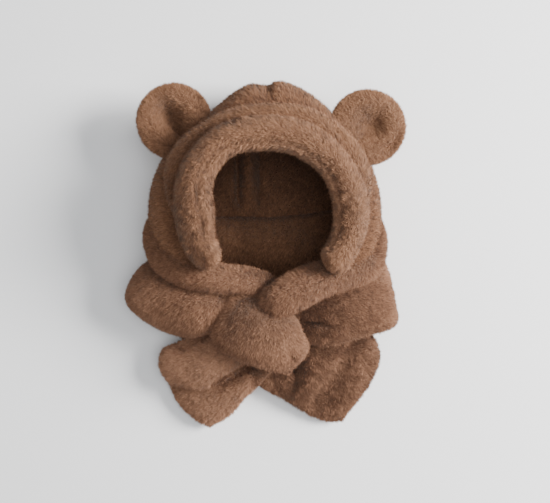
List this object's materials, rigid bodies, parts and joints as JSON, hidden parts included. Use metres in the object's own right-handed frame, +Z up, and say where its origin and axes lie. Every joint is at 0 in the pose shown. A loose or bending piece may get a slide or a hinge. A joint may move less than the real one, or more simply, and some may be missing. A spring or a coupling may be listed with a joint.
{
  "type": "animal hood scarf",
  "caption": "Padded plush hood with a rolled brim, round stuffed ears and a wide scarf band knotted under the chin, lying on its back.",
  "frame": {"origin": "middle of the footprint on the surface that the hood lies on", "axes": "+Z up from that surface, out of the face opening; +Y from the nape to the crown; +X to the right as the face opening is looked into"},
  "size_m": [0.2804, 0.3502, 0.1124],
  "materials": {
    "hood_plush": "short dense plush pile",
    "brim_plush": "short dense plush pile over a padded roll",
    "ear_plush": "short dense plush pile",
    "scarf_plush": "short dense plush pile on both sides"
  },
  "bodies": {
    "root": {"hood_shell": "hood_plush", "hood_fold": "hood_plush", "brim_roll": "brim_plush", "left_ear": "ear_plush", "right_ear": "ear_plush", "left_neck_roll": "scarf_plush", "right_neck_roll": "scarf_plush", "left_collar": "scarf_plush", "right_collar": "scarf_plush", "nape_band": "scarf_plush", "knot": "scarf_plush", "left_tail": "scarf_plush", "right_tail": "scarf_plush"}
  },
  "joints": []
}
